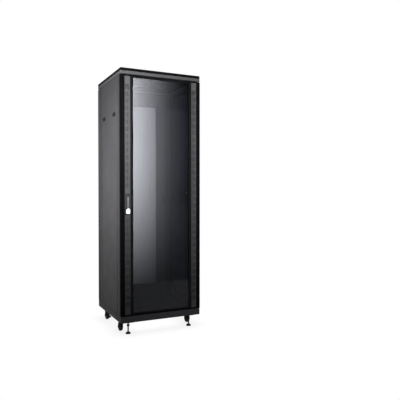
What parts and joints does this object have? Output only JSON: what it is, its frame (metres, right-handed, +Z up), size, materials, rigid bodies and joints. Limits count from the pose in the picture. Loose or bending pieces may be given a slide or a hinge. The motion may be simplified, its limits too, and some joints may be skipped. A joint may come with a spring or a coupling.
{
  "type": "network server rack cabinet",
  "caption": "Free-standing 19 inch network cabinet with glazed front door, slotted door edges, steel rear door, lift-off side panels, levelling feet and swivel casters.",
  "frame": {"origin": "centre of the footprint, on the floor under the levelling feet", "axes": "+Z up, -Y towards the glazed front door, +X to the right as seen from the front"},
  "size_m": [0.6, 0.6154, 1.8331],
  "materials": {
    "powder_black": "satin powder coat",
    "powder_frame": "satin powder coat",
    "powder_side": "fine textured powder coat",
    "vent_steel": "satin powder coat",
    "rail_black": "black powder coat",
    "zinc_steel": "bright zinc plate",
    "black_steel": "black zinc plate",
    "chrome_lock": "polished",
    "black_plastic": "fine grain",
    "tinted_glass": "tempered, smoke tint",
    "rubber_black": "matt",
    "caster_tyre": "satin nylon"
  },
  "bodies": {
    "frame": {"base_frame": "powder_frame", "foot_plates": "powder_frame", "foot_lock_nuts": "black_steel", "caster_plates": "black_steel", "floor_panel": "powder_frame", "post_front_left": "powder_frame", "post_front_right": "powder_frame", "post_rear_left": "powder_frame", "post_rear_right": "powder_frame", "roof_frame": "vent_steel", "roof_cover": "powder_black", "rail_front_left": "rail_black", "rail_front_right": "rail_black", "rail_rear_left": "rail_black", "rail_rear_right": "rail_black", "side_braces": "powder_frame", "frame_screws": "zinc_steel", "fan_housings": "black_plastic", "fan_guards": "zinc_steel", "door_hinge_pins": "zinc_steel"},
    "floor_cable_cover": {"floor_cable_cover": "powder_frame"},
    "fan_rotor_left": {"fan_rotor_left": "black_plastic"},
    "fan_rotor_right": {"fan_rotor_right": "black_plastic"},
    "foot_front_left": {"foot_front_left": "black_steel"},
    "caster_fork_front_left": {"caster_fork_front_left": "black_steel"},
    "caster_wheel_front_left": {"caster_wheel_front_left": "caster_tyre"},
    "foot_front_right": {"foot_front_right": "black_steel"},
    "caster_fork_front_right": {"caster_fork_front_right": "black_steel"},
    "caster_wheel_front_right": {"caster_wheel_front_right": "caster_tyre"},
    "foot_rear_left": {"foot_rear_left": "black_steel"},
    "caster_fork_rear_left": {"caster_fork_rear_left": "black_steel"},
    "caster_wheel_rear_left": {"caster_wheel_rear_left": "caster_tyre"},
    "brake_pedal_left": {"brake_pedal_left": "black_plastic"},
    "foot_rear_right": {"foot_rear_right": "black_steel"},
    "caster_fork_rear_right": {"caster_fork_rear_right": "black_steel"},
    "caster_wheel_rear_right": {"caster_wheel_rear_right": "caster_tyre"},
    "brake_pedal_right": {"brake_pedal_right": "black_plastic"},
    "front_door": {"front_door_frame": "powder_black", "front_door_glass": "tinted_glass", "front_door_gasket": "rubber_black", "front_door_vents": "vent_steel", "front_door_seal": "rubber_black", "front_lock_plate": "black_plastic", "front_lock_cylinder": "chrome_lock"},
    "lock_rod_upper": {"lock_rod_upper": "black_steel"},
    "lock_rod_lower": {"lock_rod_lower": "black_steel"},
    "front_lock_spindle": {"front_lock_spindle": "black_plastic"},
    "front_lock_lever": {"front_lock_lever": "black_plastic"},
    "front_key_plug": {"front_key_plug": "chrome_lock"},
    "rear_door": {"rear_door_panel": "powder_side", "rear_lock_barrel": "chrome_lock"},
    "rear_lock_cam": {"rear_lock_cam": "chrome_lock"},
    "side_panel_left": {"side_panel_left": "powder_side"},
    "side_latch_front_left": {"side_latch_front_left": "black_plastic"},
    "side_latch_rear_left": {"side_latch_rear_left": "black_plastic"},
    "side_lock_left": {"side_lock_left": "chrome_lock"},
    "side_panel_right": {"side_panel_right": "powder_side"},
    "side_latch_front_right": {"side_latch_front_right": "black_plastic"},
    "side_latch_rear_right": {"side_latch_rear_right": "black_plastic"},
    "side_lock_right": {"side_lock_right": "chrome_lock"}
  },
  "joints": [
    {"name": "floor_cover_slide", "type": "slide", "parent": "frame", "child": "floor_cable_cover", "axis": [0, -1, 0], "range_m": [0, 0.08]},
    {"name": "fan_spin_left", "type": "hinge", "parent": "frame", "child": "fan_rotor_left", "pos_m": [-0.075, 0, 1.81305], "axis": [0, 0, 1], "continuous": true},
    {"name": "fan_spin_right", "type": "hinge", "parent": "frame", "child": "fan_rotor_right", "pos_m": [0.075, 0, 1.81305], "axis": [0, 0, 1], "continuous": true},
    {"name": "foot_screw_front_left", "type": "slide", "parent": "frame", "child": "foot_front_left", "axis": [0, 0, 1], "range_m": [-0.015, 0.008]},
    {"name": "caster_swivel_front_left", "type": "hinge", "parent": "frame", "child": "caster_fork_front_left", "pos_m": [-0.26, -0.175, 0.08], "axis": [0, 0, 1], "continuous": true},
    {"name": "caster_roll_front_left", "type": "hinge", "parent": "caster_fork_front_left", "child": "caster_wheel_front_left", "pos_m": [-0.26, -0.155, 0.032], "axis": [1, 0, 0], "continuous": true},
    {"name": "foot_screw_front_right", "type": "slide", "parent": "frame", "child": "foot_front_right", "axis": [0, 0, 1], "range_m": [-0.015, 0.008]},
    {"name": "caster_swivel_front_right", "type": "hinge", "parent": "frame", "child": "caster_fork_front_right", "pos_m": [0.26, -0.175, 0.08], "axis": [0, 0, 1], "continuous": true},
    {"name": "caster_roll_front_right", "type": "hinge", "parent": "caster_fork_front_right", "child": "caster_wheel_front_right", "pos_m": [0.26, -0.155, 0.032], "axis": [1, 0, 0], "continuous": true},
    {"name": "foot_screw_rear_left", "type": "slide", "parent": "frame", "child": "foot_rear_left", "axis": [0, 0, 1], "range_m": [-0.015, 0.008]},
    {"name": "caster_swivel_rear_left", "type": "hinge", "parent": "frame", "child": "caster_fork_rear_left", "pos_m": [-0.26, 0.175, 0.08], "axis": [0, 0, 1], "continuous": true},
    {"name": "caster_roll_rear_left", "type": "hinge", "parent": "caster_fork_rear_left", "child": "caster_wheel_rear_left", "pos_m": [-0.26, 0.195, 0.032], "axis": [1, 0, 0], "continuous": true},
    {"name": "brake_press_left", "type": "hinge", "parent": "caster_fork_rear_left", "child": "brake_pedal_left", "pos_m": [-0.26, 0.2, 0.07], "axis": [-1, 0, 0], "range_deg": [0, 12]},
    {"name": "foot_screw_rear_right", "type": "slide", "parent": "frame", "child": "foot_rear_right", "axis": [0, 0, 1], "range_m": [-0.015, 0.008]},
    {"name": "caster_swivel_rear_right", "type": "hinge", "parent": "frame", "child": "caster_fork_rear_right", "pos_m": [0.26, 0.175, 0.08], "axis": [0, 0, 1], "continuous": true},
    {"name": "caster_roll_rear_right", "type": "hinge", "parent": "caster_fork_rear_right", "child": "caster_wheel_rear_right", "pos_m": [0.26, 0.195, 0.032], "axis": [1, 0, 0], "continuous": true},
    {"name": "brake_press_right", "type": "hinge", "parent": "caster_fork_rear_right", "child": "brake_pedal_right", "pos_m": [0.26, 0.2, 0.07], "axis": [-1, 0, 0], "range_deg": [0, 12]},
    {"name": "front_door_swing", "type": "hinge", "parent": "frame", "child": "front_door", "pos_m": [0.288, -0.286, 0.133], "axis": [0, 0, 1], "range_deg": [0, 165]},
    {"name": "lock_rod_upper_slide", "type": "slide", "parent": "front_door", "child": "lock_rod_upper", "axis": [0, 0, -1], "range_m": [0, 0.012]},
    {"name": "lock_rod_lower_slide", "type": "slide", "parent": "front_door", "child": "lock_rod_lower", "axis": [0, 0, 1], "range_m": [0, 0.012]},
    {"name": "front_handle_turn", "type": "hinge", "parent": "front_door", "child": "front_lock_spindle", "pos_m": [-0.25, -0.3, 0.951], "axis": [0, -1, 0], "range_deg": [0, 90]},
    {"name": "front_lever_flip", "type": "hinge", "parent": "front_lock_spindle", "child": "front_lock_lever", "pos_m": [-0.25, -0.309, 0.951], "axis": [-1, 0, 0], "range_deg": [0, 70]},
    {"name": "front_key_turn", "type": "hinge", "parent": "front_door", "child": "front_key_plug", "pos_m": [-0.25, -0.3, 0.856], "axis": [0, -1, 0], "range_deg": [0, 90]},
    {"name": "rear_door_swing", "type": "hinge", "parent": "frame", "child": "rear_door", "pos_m": [-0.288, 0.286, 0.133], "axis": [0, 0, 1], "range_deg": [0, 165]},
    {"name": "rear_lock_turn", "type": "hinge", "parent": "rear_door", "child": "rear_lock_cam", "pos_m": [0.228, 0.29, 0.942], "axis": [0, -1, 0], "range_deg": [0, 90]},
    {"name": "side_panel_tilt_left", "type": "hinge", "parent": "frame", "child": "side_panel_left", "pos_m": [-0.296, 0, 0.134], "axis": [0, -1, 0], "range_deg": [0, 15]},
    {"name": "side_latch_slide_front_left", "type": "slide", "parent": "side_panel_left", "child": "side_latch_front_left", "axis": [0, 1, 0], "range_m": [0, 0.012], "stiffness_N_per_m": 300},
    {"name": "side_latch_slide_rear_left", "type": "slide", "parent": "side_panel_left", "child": "side_latch_rear_left", "axis": [0, -1, 0], "range_m": [0, 0.012], "stiffness_N_per_m": 300},
    {"name": "side_lock_turn_left", "type": "hinge", "parent": "side_panel_left", "child": "side_lock_left", "pos_m": [-0.29, -0.007, 1.76405], "axis": [1, 0, 0], "range_deg": [0, 90]},
    {"name": "side_panel_tilt_right", "type": "hinge", "parent": "frame", "child": "side_panel_right", "pos_m": [0.296, 0, 0.134], "axis": [0, 1, 0], "range_deg": [0, 15]},
    {"name": "side_latch_slide_front_right", "type": "slide", "parent": "side_panel_right", "child": "side_latch_front_right", "axis": [0, 1, 0], "range_m": [0, 0.012], "stiffness_N_per_m": 300},
    {"name": "side_latch_slide_rear_right", "type": "slide", "parent": "side_panel_right", "child": "side_latch_rear_right", "axis": [0, -1, 0], "range_m": [0, 0.012], "stiffness_N_per_m": 300},
    {"name": "side_lock_turn_right", "type": "hinge", "parent": "side_panel_right", "child": "side_lock_right", "pos_m": [0.29, -0.007, 1.76405], "axis": [1, 0, 0], "range_deg": [0, 90]}
  ],
  "couplings": [
    {"joint": "front_handle_turn", "follows": "lock_rod_upper_slide", "rad_per_m": 130.9},
    {"joint": "lock_rod_lower_slide", "follows": "lock_rod_upper_slide", "ratio": 1}
  ]
}
